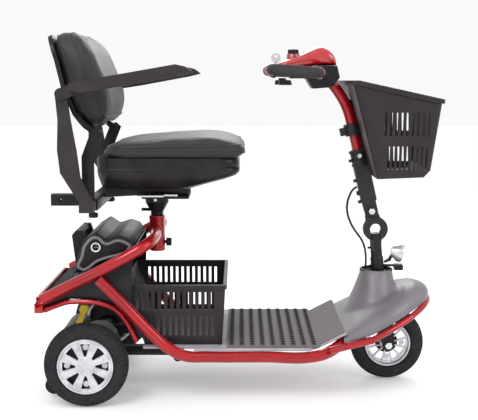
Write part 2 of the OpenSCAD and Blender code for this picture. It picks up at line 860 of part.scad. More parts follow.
module seat_frame() {
    color(black) {
        difference() {
            union() {
                // tube that takes the two arm posts, and the accessory receiver behind it
                translate([cross_x - bar_out, -182, cross_z - bar_out]) cube([2 * bar_out, 364, 2 * bar_out]);
                translate([-486, -15, 460]) cube([486 + cross_x - 10, 30, 30]);
            }
            for (s = [-1, 1]) translate([cross_x - bar_in, s * 110 - 76, cross_z - bar_in])
                cube([2 * bar_in, 152, 2 * bar_in]);
            for (s = [-1, 1]) translate([cross_x, s * 160, 460]) cylinder(h = 20, r = 4 + fit);
            translate([-490, -12.7, 462.3]) cube([110, 25.4, 25.4]);
            translate([-462, -20, 475]) rotate([-90, 0, 0]) cylinder(h = 40, r = 4);
        }
        for (s = [-1, 1]) {
            // channel under the seat pan
            side_profile([[cross_x + bar_out, 486], [cross_x + bar_out, seat_bottom],
                [-127, seat_bottom], [-127, swivel_z], [-250, swivel_z]], s * 40 - 5, s * 40 + 5);
            // upright that holds the backrest hinge
            difference() {
                side_profile([[-378, 470], [-378, 600], [-354, 662], [-338, 668], [-324, 656],
                    [-348, 596], [-348, 496], [-369, 496], [-369, 470]], s * 176 - 3, s * 176 + 3);
                cross_cylinder(hinge_x, hinge_z, -200, 200, 6 + fit);
            }
        }
    }
}

module clamp_knobs() {
    color(black) for (s = [-1, 1]) translate([cross_x, s * 160, 0]) {
        translate([0, 0, 452]) cylinder(h = cross_z - bar_in - gap - 452, r = 4);
        translate([0, 0, 450]) cylinder(h = 12, r = 13, $fn = 5);
    }
}

// ---- seat pan and cushion ----

pan_half = 190;

module seat_pan() {
    color(black) difference() {
        intersection() {
            side_profile([[-345, 528], [-334, seat_bottom], [-120, seat_bottom], [-40, 532],
                [-2, 556], [3, 574], [-6, 597], [-345, 597]], -pan_half, pan_half);
            translate([0, 0, 500]) linear_extrude(120) round_rect(-345, 4, pan_half, 40);
        }
        intersection() {
            side_profile([[-340, 532], [-332, seat_bottom + wall], [-120, seat_bottom + wall],
                [-42, 537], [-7, 558], [-3, 574], [-10, 610], [-340, 610]], -pan_half, pan_half);
            translate([0, 0, 500]) linear_extrude(140) round_rect(-341, -1, pan_half - wall, 36);
        }
    }
}

module seat_cushion() {
    color("#3a363b") intersection() {
        side_profile([[-330, 598], [-334, 610], [-322, 622], [-270, 631], [-180, 639], [-90, 644],
            [-40, 641], [0, 631], [20, 618], [21, 608], [8, 598]], -cushion_w / 2, cushion_w / 2);
        translate([0, 0, 590]) linear_extrude(80) round_rect(-334, 22, cushion_w / 2, 60);
    }
}

// ---- backrest ----

hinge_x = -340;
hinge_z = 652;
shell_half = 184;

module back_outline(half, z0, z1, r) {
    translate([-600, 0, 0]) rotate([90, 0, 90]) linear_extrude(400)
        translate([0, (z0 + z1) / 2]) rotate(90) round_rect(-(z1 - z0) / 2, (z1 - z0) / 2, half, r);
}

module back_shell() {
    color(black) {
        intersection() {
            side_profile([[-372, 664], [-396, 700], [-421, 759], [-437, 829], [-454, 884],
                [-446, 890], [-427, 829], [-411, 761], [-386, 703], [-358, 664]], -shell_half, shell_half);
            back_outline(shell_half, 660, 892, 50);
        }
        // hinge lugs, each with its pin
        for (s = [-1, 1]) {
            side_profile([[-352, 650], [-374, 672], [-388, 704], [-384, 706], [-366, 680], [-330, 656],
                [-334, 643], [-344, 641]], s * 168 - 4.5, s * 168 + 4.5);
            cross_cylinder(hinge_x, hinge_z, s * 173.5 - 9, s * 173.5 + 9, 6);
        }
    }
}

module back_cushion() {
    color("#3a363b") intersection() {
        side_profile([[-350, 666], [-338, 662], [-322, 680], [-314, 712], [-318, 752], [-335, 797],
            [-356, 848], [-380, 888], [-400, 900], [-432, 903], [-442, 892], [-424, 829], [-407, 762],
            [-382, 705]], -back_w / 2, back_w / 2);
        back_outline(back_w / 2, 660, 904, 62);
    }
}

// ---- arms ----

arm_pivot_x = -412;
arm_pivot_z = 750;
post_y = arm_w / 2;
post_t = 12;

module arm_post() {
    color("#46404a") {
        difference() {
            union() {
                side_profile([[-426, 748], [-421, 690], [-424, 620], [-418, 566], [-376, 498],
                    [-376, 472], [-342, 472], [-342, 498], [-372, 556], [-380, 620], [-392, 690], [-399, 744]],
                    -post_y - post_t / 2, -post_y + post_t / 2);
                cross_cylinder(arm_pivot_x, arm_pivot_z, -post_y - post_t / 2, -post_y + post_t / 2, 14);
            }
            cross_cylinder(arm_pivot_x, arm_pivot_z, -post_y - 20, -post_y + 20, 5 + fit);
        }
        // bar that slides in the cross tube
        translate([cross_x - bar_in + fit, -post_y, cross_z - bar_in + fit])
            cube([2 * (bar_in - fit), 120, 2 * (bar_in - fit)]);
    }
}

module arm_pad() {
    cheek = 5;
    color("#2c2a2e") {
        for (y = [-post_y - post_t / 2 - gap - cheek, -post_y + post_t / 2 + gap]) {
            cross_cylinder(arm_pivot_x, arm_pivot_z, y, y + cheek, 14);
            side_profile([[-416, 763], [-378, 778], [-360, 778], [-360, 754], [-408, 737]], y, y + cheek);
        }
        cross_cylinder(arm_pivot_x, arm_pivot_z, -post_y - post_t / 2 - gap - 3, -post_y + post_t / 2 + gap + 3, 5);
        difference() {
            intersection() {
                side_profile([[-392, 757], [-392, 774], [-376, 778], [-296, 792], [-146, 818], [-124, 813],
                    [-106, 800], [-138, 792], [-274, 767], [-366, 753]],
                    -post_y - pad_w / 2, -post_y + pad_w / 2);
                translate([0, -post_y, 700]) linear_extrude(200) round_rect(-402, -106, pad_w / 2, 21);
            }
            cross_cylinder(arm_pivot_x, arm_pivot_z, -post_y - post_t / 2 - gap, -post_y + post_t / 2 + gap, 18);
            side_profile([[-412, 760], [-380, 760], [-380, 740], [-412, 740]],
                -post_y - post_t / 2 - gap, -post_y + post_t / 2 + gap);
        }
    }
}

floor_pan();
floor_mat();
side_rail();  // side_rail_right
left_side() side_rail();  // side_rail_left
seat_hoop();
chassis_frame();
post_socket();
post_clamp();
transaxle();
freewheel_lever();
battery_case();
battery_handle();
controller_box();
rear_shroud();
shroud_trim();
anti_tip_roller();  // anti_tip_roller_right
left_side() anti_tip_roller();  // anti_tip_roller_left
rear_basket();
front_shroud();
front_bumper();
head_tube();
head_bearings();
steering_fork();
front_axle();
front_rim();
front_tyre();
tilt_knuckle();
tilt_bolt();
tiller_casting();
tiller_tube();
control_housing();
control_console();
handlebar();
hand_grips();
throttle_lever();
speed_dial();
ignition_key();
horn_button();
front_basket();
basket_bracket();
headlight();
horn_box();
wiring_loom();
seat_post();
swivel_plate();
swivel_lever();
seat_frame();
clamp_knobs();
seat_pan();
seat_cushion();
back_shell();
back_cushion();
arm_post();  // arm_post_right
left_side() arm_post();  // arm_post_left
arm_pad();  // arm_pad_right
left_side() arm_pad();  // arm_pad_left
rear_rim();  // rear_rim_right
left_side() rear_rim();  // rear_rim_left
rear_tyre();  // rear_tyre_right
left_side() rear_tyre();  // rear_tyre_left
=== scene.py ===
import math
import bmesh
import bpy
from mathutils import Matrix, Vector
from mathutils.bvhtree import BVHTree


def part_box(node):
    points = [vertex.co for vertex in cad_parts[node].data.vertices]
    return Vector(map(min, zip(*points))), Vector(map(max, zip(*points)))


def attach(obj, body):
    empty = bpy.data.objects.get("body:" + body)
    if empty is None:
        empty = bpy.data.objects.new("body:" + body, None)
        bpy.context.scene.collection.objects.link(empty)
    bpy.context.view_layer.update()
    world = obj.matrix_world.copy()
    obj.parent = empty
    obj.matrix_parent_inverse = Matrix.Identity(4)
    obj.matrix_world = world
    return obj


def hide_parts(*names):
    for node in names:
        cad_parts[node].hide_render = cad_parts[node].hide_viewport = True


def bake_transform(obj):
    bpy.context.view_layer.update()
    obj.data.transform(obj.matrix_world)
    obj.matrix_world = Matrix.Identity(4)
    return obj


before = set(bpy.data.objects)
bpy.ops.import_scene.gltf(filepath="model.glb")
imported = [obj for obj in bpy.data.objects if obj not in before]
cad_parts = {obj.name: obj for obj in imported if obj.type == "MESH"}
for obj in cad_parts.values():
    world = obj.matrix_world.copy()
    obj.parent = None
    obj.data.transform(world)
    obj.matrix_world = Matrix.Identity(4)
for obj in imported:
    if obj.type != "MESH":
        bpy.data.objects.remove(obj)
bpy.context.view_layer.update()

# ---- Camera, light and floor ----
# The scooter stands on a pale studio floor, seen from its right side a little above the arm rests,
# under one large soft light above and two fill lights.
camera_dip = 7.63
camera_back = 2.5
camera_height = 0.782
camera_data = bpy.data.cameras.new("camera")
camera_data.lens = 73.05
camera_data.sensor_width = 36.0
camera = bpy.data.objects.new("camera", camera_data)
camera.location = (0.0, -camera_back, camera_height)
camera.rotation_euler = (math.radians(90 - camera_dip), 0.0, 0.0)
bpy.context.scene.collection.objects.link(camera)
bpy.context.scene.camera = camera

world = bpy.data.worlds.new("studio")
world.use_nodes = True
backdrop = world.node_tree.nodes["Background"]
backdrop.inputs["Color"].default_value = (1.0, 1.0, 1.0, 1.0)
backdrop.inputs["Strength"].default_value = 0.95
bpy.context.scene.world = world
bpy.context.scene.view_settings.view_transform = "Standard"


def soft_light(name, place, aim, size, watts):
    data = bpy.data.lights.new(name, "AREA")
    data.size = size
    data.energy = watts
    light = bpy.data.objects.new(name, data)
    light.location = place
    light.rotation_euler = (Vector(aim) - Vector(place)).to_track_quat("-Z", "Y").to_euler()
    bpy.context.scene.collection.objects.link(light)


middle = (0.0, 0.0, 0.45)
soft_light("key_light", (-1.1, -1.9, 2.3), middle, 1.3, 36)
soft_light("front_light", (2.2, -1.2, 1.5), middle, 1.0, 16)
soft_light("back_light", (0.2, 2.2, 1.8), middle, 1.4, 22)

floor_mesh = bpy.data.meshes.new("floor")
floor_shape = bmesh.new()
bmesh.ops.create_grid(floor_shape, x_segments=1, y_segments=1, size=14.0)
floor_shape.to_mesh(floor_mesh)
floor_shape.free()
floor = bpy.data.objects.new("floor", floor_mesh)
floor.location = (0.0, 0.0, -0.0005)
bpy.context.scene.collection.objects.link(floor)

# ---- Frame tubes ----
# The welded frame is bent from 28 mm steel tube, painted a deep metallic red under clear lacquer.
# The hoop carries the seat post and the two rails run down to the deck and on to the head tube.


class Field:
    """A value that varies over a surface; sums on it add Math nodes to its material."""

    def __init__(self, tree, socket):
        self.tree = tree
        self.socket = socket

    def node(self, kind, settings, inputs, output=0):
        made = self.tree.nodes.new("ShaderNode" + kind)
        for name, value in settings.items():
            setattr(made, name, value)
        for key, value in inputs.items():
            if isinstance(value, Field):
                self.tree.links.new(value.socket, made.inputs[key])
            else:
                made.inputs[key].default_value = value
        return Field(self.tree, made.outputs[output])

    def math(self, operation, first, second=0.0):
        return self.node("Math", {"operation": operation}, {0: first, 1: second})

    def __add__(self, other):
        return self.math("ADD", self, other)

    def __radd__(self, other):
        return self.math("ADD", other, self)

    def __mul__(self, other):
        return self.math("MULTIPLY", self, other)

    def __rmul__(self, other):
        return self.math("MULTIPLY", other, self)

    def above(self, edge, soft):
        spread = {"clamp": True}
        return self.node("MapRange", spread, {0: self, 1: edge - soft, 2: edge + soft, 3: 0.0, 4: 1.0})

    def speckle(self, scale, detail=2.0):
        return self.node("TexNoise", {}, {"Vector": self, "Scale": scale, "Detail": detail})

    def cells(self, scale):
        return self.node("TexVoronoi", {"feature": "DISTANCE_TO_EDGE"}, {"Vector": self, "Scale": scale})

    def tint(self, dark, light):
        stops = {"data_type": "RGBA"}
        return self.node("Mix", stops, {0: self, 6: (*dark, 1.0), 7: (*light, 1.0)}, 2)


def finish(name, constants, varying):
    """A material; varying takes its Object coordinates and gives a dict of socket to Field."""
    material = bpy.data.materials.new(name)
    material.use_nodes = True
    tree = material.node_tree
    shader = tree.nodes["Principled BSDF"]
    for key, value in constants.items():
        shader.inputs[key].default_value = value
    place = Field(tree, tree.nodes.new("ShaderNodeTexCoord").outputs["Object"])
    for key, value in varying(place).items():
        if key == "height":
            depth, height = value
            bump = place.node("Bump", {}, {"Strength": 1.0, "Distance": depth, "Height": height})
            tree.links.new(bump.socket, shader.inputs["Normal"])
        else:
            tree.links.new(value.socket, shader.inputs[key])
    return material


def floor_paint(place):
    wear = place.speckle(3.0)
    return {"Base Color": wear.tint((0.80, 0.80, 0.80), (0.84, 0.84, 0.84)), "Roughness": 0.5 + wear * 0.1}


floor_glow = {"Emission Color": (1.0, 1.0, 1.0, 1.0), "Emission Strength": 0.22}
floor_mesh.materials.append(finish("studio_floor", floor_glow, floor_paint))


def red_coat(place):
    flake = place.speckle(2600.0, 1.0)
    wash = place.speckle(9.0)
    depth = (flake * 0.35 + wash * 0.65).above(0.5, 0.3)
    return {
        "Base Color": depth.tint((0.20, 0.001, 0.004), (0.46, 0.004, 0.009)),
        "Roughness": 0.20 + wash * 0.14,
        "height": (0.00004, flake),
    }


red_lacquer = {"Metallic": 0.25, "Specular IOR Level": 0.3, "Coat Weight": 0.55, "Coat Roughness": 0.05}
red_paint = finish("red_paint", red_lacquer, red_coat)


def settle(name, shape, material, body, *nodes, crease=40.0):
    """Makes a finished piece from a bmesh or a mesh: smooth, painted, riding on its body."""
    if isinstance(shape, bmesh.types.BMesh):
        mesh = bpy.data.meshes.new(name)
        bmesh.ops.recalc_face_normals(shape, faces=shape.faces[:])
        shape.to_mesh(mesh)
        shape.free()
    else:
        mesh = shape
    mesh.shade_smooth()
    mesh.set_sharp_from_angle(angle=math.radians(crease))
    mesh.materials.clear()
    mesh.materials.append(material)
    piece = bpy.data.objects.new(name, mesh)
    bpy.context.scene.collection.objects.link(piece)
    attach(piece, body)
    if nodes:
        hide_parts(*nodes)
    return piece


def mm(points):
    return [Vector(p) * 0.001 for p in points]


def worked_out(carrier):
    """The mesh that an object has once its curve or its modifiers are worked out."""
    graph = bpy.context.evaluated_depsgraph_get()
    return bpy.data.meshes.new_from_object(carrier.evaluated_get(graph))


def tube_mesh(routes, radius, sides=20, closed=False, steps=8):
    """Round tubes along smooth curves through each route's points, as one mesh."""
    curve = bpy.data.curves.new("route", "CURVE")
    curve.dimensions = "3D"
    curve.bevel_depth = radius
    curve.bevel_resolution = sides // 4 - 1
    curve.use_fill_caps = not closed
    for route in routes:
        spline = curve.splines.new("BEZIER")
        spline.resolution_u = steps
        spline.bezier_points.add(len(route) - 1)
        for knot, point in zip(spline.bezier_points, route):
            knot.co = point
            knot.handle_left_type = "AUTO"
            knot.handle_right_type = "AUTO"
        spline.use_cyclic_u = closed
    carrier = bpy.data.objects.new("route", curve)
    bpy.context.scene.collection.objects.link(carrier)
    mesh = worked_out(carrier)
    bpy.data.objects.remove(carrier)
    return mesh


def far_side(route):
    """The same route on the scooter's left side."""
    return [Vector((p.x, -p.y, p.z)) for p in route]


tube_r = 0.014
hoop_near = mm([(-476, -203, 255), (-433, -203, 277), (-343, -203, 322), (-262, -203, 366),
                (-228, -191, 385), (-213, -153, 394), (-213, -24, 394)])
hoop = tube_mesh([hoop_near, far_side(hoop_near)], tube_r, 28)
settle("seat_hoop_tube", hoop, red_paint, "root", "seat_hoop")
rail = mm([(-340, -203, 305), (-288, -203, 252), (-216, -203, 175), (-168, -203, 132), (-130, -203, 115),
           (-80, -203, 113), (60, -203, 113), (180, -203, 113), (225, -185, 122), (270, -140, 147),
           (306, -84, 171), (331, -36, 225)])
settle("side_rail_tube_right", tube_mesh([rail], tube_r, 28), red_paint, "root", "side_rail_right")
settle("side_rail_tube_left", tube_mesh([far_side(rail)], tube_r, 28), red_paint, "root", "side_rail_left")

# ---- Seat post socket ----
# A short red steel sleeve, open at both ends, in which the seat post slides; it is cut from tube and has a
# rolled lip at each end.


def shift(shape, vec):
    bmesh.ops.translate(shape, verts=shape.verts[:], vec=vec)
    return shape


def swing(shape, angle, axis):
    """Turns a shape round the X, Y or Z axis."""
    matrix = Matrix.Rotation(angle, 3, axis)
    bmesh.ops.rotate(shape, verts=shape.verts[:], cent=(0, 0, 0), matrix=matrix)
    return shape


def ring_wall(profile, centre, axis="Z", steps=48):
    """A closed outline of (radius, height) pairs spun round the Z or Y axis through centre."""
    shape = bmesh.new()
    rim = [shape.verts.new((max(r, 0.0004), 0.0, h)) for r, h in profile]
    edges = [shape.edges.new((rim[i], rim[(i + 1) % len(rim)])) for i in range(len(rim))]
    bmesh.ops.spin(shape, geom=rim + edges, axis=(0, 0, 1), cent=(0, 0, 0), angle=math.tau,
                   steps=steps, use_merge=True)
    bmesh.ops.remove_doubles(shape, verts=shape.verts[:], dist=0.00001)
    if axis == "Y":
        swing(shape, math.radians(-90), "X")
    return shift(shape, centre)


post_x = -0.213
low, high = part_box("post_socket")
settle("post_socket_sleeve", ring_wall([
    (0.0162, low[2]), (0.0190, low[2]), (0.0208, low[2] + 0.002), (0.0200, low[2] + 0.005),
    (0.0200, high[2] - 0.008), (0.0210, high[2] - 0.006), (0.0210, high[2] - 0.001), (0.0200, high[2]),
    (0.0162, high[2])], (post_x, 0, 0)), red_paint, "root", "post_socket")

# ---- Tyres ----
# Solid black rubber tyres with rounded walls. The tread is smooth in the middle and has a row of
# cut blocks on each shoulder.


def rubber(place):
    dust = place.speckle(60.0, 4.0)
    grain = place.speckle(1800.0)
    return {
        "Base Color": dust.above(0.55, 0.25).tint((0.008, 0.007, 0.008), (0.026, 0.023, 0.025)),
        "Roughness": 0.62 + dust * 0.25,
        "height": (0.00015, grain),
    }


tyre_rubber = finish("tyre_rubber", {"Specular IOR Level": 0.28}, rubber)


def tyre(name, centre, outer, inner, width, body, node):
    """A tyre; every other face of its shoulders, of 96 in the round, is cut in."""
    sectors = 96
    half = width / 2
    side = [(inner, half - 0.006), (inner + 0.004, half - 0.002), (inner + 0.008, half - 0.0005),
            (inner + 0.015, half), (outer - 0.012, half - 0.001), (outer - 0.006, half - 0.005),
            (outer - 0.002, half - 0.011), (outer - 0.0003, half - 0.017), (outer, half - 0.021)]
    profile = side + [(r, -h) for r, h in reversed(side)]
    shape = ring_wall(profile, centre, "Y", sectors)
    cuts = []
    for face in shape.faces:
        spot = face.calc_center_median() - centre
        radius = math.hypot(spot.x, spot.z)
        sector = int((math.atan2(spot.z, spot.x) + math.pi) / math.tau * sectors)
        shoulder = outer - 0.0105 < radius < outer - 0.0008
        if shoulder and (sector + (spot.y > 0)) % 2 == 0:
            cuts.append(face)
    bmesh.ops.inset_individual(shape, faces=cuts, thickness=0.0003, depth=-0.0009)
    return settle(name, shape, tyre_rubber, body, node, crease=50.0)


rear_axle = Vector((-0.368, 0.0, 0.102))
front_axle = Vector((0.390, 0.0, 0.096))
wheel_y = 0.229
rear_hubs = (("right", rear_axle - Vector((0, wheel_y, 0))), ("left", rear_axle + Vector((0, wheel_y, 0))))
for side, hub in rear_hubs:
    tyre("tyre_rear_" + side, hub, 0.1020, 0.068, 0.050, "wheel_" + side, "rear_tyre_" + side)
tyre("tyre_front", front_axle, 0.0960, 0.060, 0.048, "front_wheel", "front_tyre")

# ---- Wheel rims ----
# Cast alloy rims in silver lacquer: a barrel, a dished face with windows between flat spokes, and
# a hub with four studs. A dark brake drum with four light bosses shows through the windows.


def silver_coat(place):
    swirl = place.speckle(900.0, 1.0)
    grime = place.speckle(45.0, 3.0)
    return {
        "Base Color": grime.above(0.62, 0.2).tint((0.66, 0.65, 0.69), (0.40, 0.39, 0.42)),
        "Roughness": 0.30 + grime * 0.2,
        "height": (0.00003, swirl),
    }


silver_lacquer = finish("silver_lacquer", {"Metallic": 0.75, "Coat Weight": 0.3}, silver_coat)


def drum_coat(place):
    rust = place.speckle(120.0, 3.0)
    return {
        "Base Color": rust.tint((0.010, 0.010, 0.011), (0.035, 0.032, 0.031)),
        "Roughness": 0.5 + rust * 0.3,
    }


drum_black = finish("drum_black", {"Metallic": 0.3}, drum_coat)


def outline_plate(points, y0, y1, soft=0.0, segments=3):
    """A flat outline in X and Z made a plate from y0 to y1, with its edges rounded by soft."""
    shape = bmesh.new()
    rim = [shape.verts.new((x, y0, z)) for x, z in points]
    face = shape.faces.new(rim)
    pushed = bmesh.ops.extrude_face_region(shape, geom=[face])
    moved = [v for v in pushed["geom"] if isinstance(v, bmesh.types.BMVert)]
    bmesh.ops.translate(shape, verts=moved, vec=(0, y1 - y0, 0))
    bmesh.ops.recalc_face_normals(shape, faces=shape.faces[:])
    if soft:
        bmesh.ops.bevel(shape, geom=shape.edges[:], offset=soft, segments=segments, profile=0.5,
                        affect="EDGES", clamp_overlap=True, material=-1)
    return shape


def join(shape, *others):
    """Adds other shapes to a shape and frees them."""
    for other in others:
        carrier = bpy.data.meshes.new("part")
        other.to_mesh(carrier)
        other.free()
        shape.from_mesh(carrier)
        bpy.data.meshes.remove(carrier)
    return shape


def peg(foot, tip, length, sides, facing=1):
    """A round peg along Y, foot and tip being the radii of its ends."""
    shape = bmesh.new()
    bmesh.ops.create_cone(shape, cap_ends=True, segments=sides, radius1=foot, radius2=tip, depth=length,
                          matrix=Matrix.Rotation(math.radians(90 * facing), 4, "X"))
    return shape


def rim(name, hub, radius, width, face, windows, spoke_in, spoke_out, hub_r, body, node, drum):
    """face is how far in Y the dished face lies from the wheel's middle, towards its outer side."""
    out = 1 if face > 0 else -1
    half = width / 2
    barrel = ring_wall([(radius - step, out * h) for step, h in (
        (0.006, -half), (0.0, -half), (0.0, half), (0.001, half + 0.0015), (0.004, half + 0.0015),
        (0.0065, half - 0.003), (0.0065, 0.0))], (0, 0, 0), "Y", 64)
    low_y, high_y = face - 0.004, face + 0.004
    for i in range(windows):
        spoke = outline_plate([(hub_r - 0.004, -spoke_in / 2), (radius - 0.004, -spoke_out / 2),
                               (radius - 0.004, spoke_out / 2), (hub_r - 0.004, spoke_in / 2)],
                              low_y, high_y, 0.0018, 2)
        join(barrel, swing(spoke, math.tau * (i + 0.5) / windows, "Y"))
    ring = ring_wall([(radius - 0.012, low_y + 0.001), (radius - 0.003, low_y),
                      (radius - 0.003, high_y + 0.0005), (radius - 0.012, high_y)], (0, 0, 0), "Y", 64)
    cap = [(0.0, -0.5), (hub_r, -0.5), (hub_r + 0.004, -0.1), (hub_r + 0.003, 0.3), (hub_r - 0.004, 0.62),
           (hub_r - 0.009, 0.66), (hub_r - 0.011, 0.52), (0.0, 0.56)]
    hub_boss = ring_wall([(r, face + out * h * 0.010) for r, h in cap], (0, 0, 0), "Y", 40)
    join(barrel, ring, hub_boss)
    for i in range(4):
        stud = shift(peg(0.0035, 0.003, 0.006, 6), (hub_r - 0.006, face + out * 0.008, 0))
        join(barrel, swing(stud, math.tau * i / 4, "Y"))
    settle(name, shift(barrel, hub), silver_lacquer, body, node)
    plate = ring_wall([(0.0, -out * 0.002), (drum, -out * 0.002), (drum, 0.0), (drum - 0.010, out * 0.004),
                       (0.0, out * 0.004)], (0, 0, 0), "Y", 48)
    settle(name + "_drum", shift(plate, hub + Vector((0, face - out * 0.016, 0))), drum_black, body)
    bosses = bmesh.new()
    for i in range(4):
        boss_at = ((hub_r + radius) / 2 + 0.001, face - out * 0.010, 0)
        boss = shift(peg(0.0075, 0.006, 0.006, 20, out), boss_at)
        join(bosses, swing(boss, math.tau * i / 4, "Y"))
    settle(name + "_bosses", shift(bosses, hub), silver_lacquer, body)


for (side, hub), face in zip(rear_hubs, (-0.017, 0.017)):
    rim("rim_rear_" + side, hub, radius=0.0679, width=0.046, face=face, windows=8, spoke_in=0.013,
        spoke_out=0.024, hub_r=0.021, body="wheel_" + side, node="rear_rim_" + side, drum=0.060)
rim("rim_front", front_axle, radius=0.0599, width=0.044, face=-0.012, windows=12, spoke_in=0.004,
    spoke_out=0.006, hub_r=0.015, body="front_wheel", node="front_rim", drum=0.030)

# ---- Chassis cross members and drive unit ----
# Under the deck: black enamelled cross bar, roller arms and axle tube with the gear case, the motor
# and the electronics box, all with the small rounded edges of castings and folded steel.


def enamel(place):
    peel = place.speckle(300.0)
    dust = place.speckle(22.0, 4.0)
    return {
        "Base Color": dust.above(0.58, 0.2).tint((0.005, 0.004, 0.006), (0.018, 0.016, 0.018)),
        "Roughness": 0.30 + dust * 0.25,
        "height": (0.00006, peel),
    }


def moulded(dark, light, rough, grain_depth):
    """The coat of a moulding or casting, from its two colours, its roughness and its grain."""
    def coat(place):
        grain = place.speckle(1500.0, 3.0)
        scuff = place.speckle(16.0, 4.0)
        return {
            "Base Color": scuff.above(0.55, 0.3).tint(dark, light),
            "Roughness": rough + scuff * 0.2,
            "height": (grain_depth, grain),
        }
    return coat


def bright_steel(place):
    brushed = place.speckle(500.0, 4.0)
    return {
        "Base Color": brushed.tint((0.55, 0.55, 0.56), (0.80, 0.80, 0.80)),
        "Roughness": 0.14 + brushed * 0.2,
    }


thin_gloss = {"Specular IOR Level": 0.2, "Coat Weight": 0.12, "Coat Roughness": 0.12}
black_enamel = finish("black_enamel", thin_gloss, enamel)
black_moulding = finish("black_moulding", {"Specular IOR Level": 0.2},
                        moulded((0.007, 0.006, 0.008), (0.022, 0.019, 0.023), 0.36, 0.00008))
grey_moulding = finish("grey_moulding", {"IOR": 1.46, "Coat Weight": 0.25, "Coat Roughness": 0.3},
                       moulded((0.135, 0.124, 0.140), (0.190, 0.176, 0.192), 0.34, 0.00005))
pan_grey = finish("pan_grey", {"IOR": 1.46},
                  moulded((0.30, 0.28, 0.32), (0.42, 0.40, 0.43), 0.38, 0.00005))
arm_cover = finish("arm_cover", {"Specular IOR Level": 0.25},
                   moulded((0.017, 0.013, 0.016), (0.036, 0.029, 0.034), 0.45, 0.00012))
yellow_moulding = finish("yellow_moulding", {"IOR": 1.46},
                         moulded((0.62, 0.40, 0.02), (0.80, 0.56, 0.04), 0.35, 0.00005))
chrome = finish("chrome", {"Metallic": 1.0}, bright_steel)


def softened(node, name, edge, material, body, angle=32.0, segments=2):
    """A CAD node's solid with its sharp edges rounded by edge."""
    shape = bmesh.new()
    shape.from_mesh(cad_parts[node].data)
    bmesh.ops.remove_doubles(shape, verts=shape.verts[:], dist=0.00002)
    bmesh.ops.dissolve_limit(shape, angle_limit=math.radians(1.0), verts=shape.verts[:], edges=shape.edges[:])
    sharp = [e for e in shape.edges if len(e.link_faces) == 2
             and e.calc_face_angle(0.0) > math.radians(angle) and e.calc_length() > edge * 2.5]
    bmesh.ops.bevel(shape, geom=sharp, offset=edge, segments=segments, profile=0.5, affect="EDGES",
                    clamp_overlap=True, material=-1)
    return settle(name, shape, material, body, node, crease=28.0)


def remeshed(mesh, voxel, rounds=0):
    """A mesh remeshed and relaxed, so that its edges flow into each other."""
    carrier = bpy.data.objects.new("remesh", mesh)
    bpy.context.scene.collection.objects.link(carrier)
    melt = carrier.modifiers.new("melt", "REMESH")
    melt.mode = "VOXEL"
    melt.voxel_size = voxel
    relax = carrier.modifiers.new("relax", "SMOOTH")
    relax.factor = 0.5
    relax.iterations = rounds
    melt_mesh = worked_out(carrier)
    bpy.data.objects.remove(carrier)
    return melt_mesh


def melted(node, name, voxel, rounds, material, body):
    """A CAD node's solid with its edges melted into each other."""
    mesh = remeshed(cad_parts[node].data.copy(), voxel, rounds)
    return settle(name, mesh, material, body, node, crease=180.0)


softened("chassis_frame", "chassis_members", 0.0012, black_enamel, "root")
softened("transaxle", "drive_unit", 0.0020, black_enamel, "root")
softened("controller_box", "electronics_box", 0.0030, black_moulding, "root")
for side in ("right", "left"):
    softened("anti_tip_roller_" + side, "roller_wheel_" + side, 0.0020, tyre_rubber, "roller_" + side)

# ---- Freewheel lever ----
# Yellow moulded lever on the gear case that frees the drive: a short arm with a finger tab, as
# thick at its end as at its root and lightly rounded all round.
softened("freewheel_lever", "freewheel_tab", 0.0015, yellow_moulding, "freewheel")

# ---- Battery pack ----
# The lift-out battery: a black case with a raised frame round its side panel and a lift handle at
# the back. The charging inlet is a dark ring with three pins in the side of the case.
softened("battery_case", "battery_body", 0.0060, black_moulding, "root", segments=4)
softened("battery_handle", "battery_grip", 0.0020, black_moulding, "root")
panel_outline = [(-0.392, 0.322), (-0.386, 0.350), (-0.374, 0.384), (-0.351, 0.399), (-0.327, 0.383),
                 (-0.297, 0.391), (-0.276, 0.384), (-0.268, 0.376), (-0.345, 0.342)]
for side, label in ((-1, "right"), (1, "left")):
    border = [Vector((x, side * 0.1500, z)) for x, z in panel_outline]
    settle("battery_border_" + label, tube_mesh([border], 0.0042, 16, closed=True), grey_moulding, "root")

inlet_at = Vector((-0.352, -0.1505, 0.375))
inlet = ring_wall([(0.0080, 0.0), (0.0125, 0.0), (0.0120, -0.0016), (0.0085, -0.0020), (0.0080, -0.0010)],
                  inlet_at, "Y", 40)
for i in range(3):
    angle = math.tau * i / 3 + math.radians(90)
    pin_at = inlet_at + Vector((0.0035 * math.cos(angle), 0.009, 0.0035 * math.sin(angle)))
    join(inlet, shift(peg(0.0011, 0.0011, 0.010, 12), pin_at))
settle("charging_inlet_ring", inlet, chrome, "root")

# ---- Rear shroud and its red edging ----
# A glossy black cover over the drive: a ribbed sloping top between two side panels, edged below by
# a red round moulding that runs back to a moulded tail bar.
softened("rear_shroud", "shroud_body", 0.0008, black_enamel, "root")


def small_box(size, edge):
    """A box round the origin with its edges rounded by edge."""
    shape = bmesh.new()
    bmesh.ops.create_cube(shape, size=1.0)
    bmesh.ops.scale(shape, vec=size, verts=shape.verts[:])
    if edge:
        bmesh.ops.bevel(shape, geom=shape.edges[:], offset=edge, segments=2, profile=0.5, affect="EDGES",
                        material=-1)
    return shape


rib_slope = math.atan2(0.064, 0.096)
rib_pitch = 0.046
ribs = bmesh.new()
for i in range(7):
    rib = swing(small_box((0.078, 0.012, 0.004), 0.0018), -rib_slope, "Y")
    join(ribs, shift(rib, (-0.441, (i - 3) * rib_pitch, 0.2805)))
settle("shroud_ribs", ribs, black_enamel, "root")
softened("shroud_trim", "shroud_edging", 0.0030, red_paint, "root", angle=50.0)

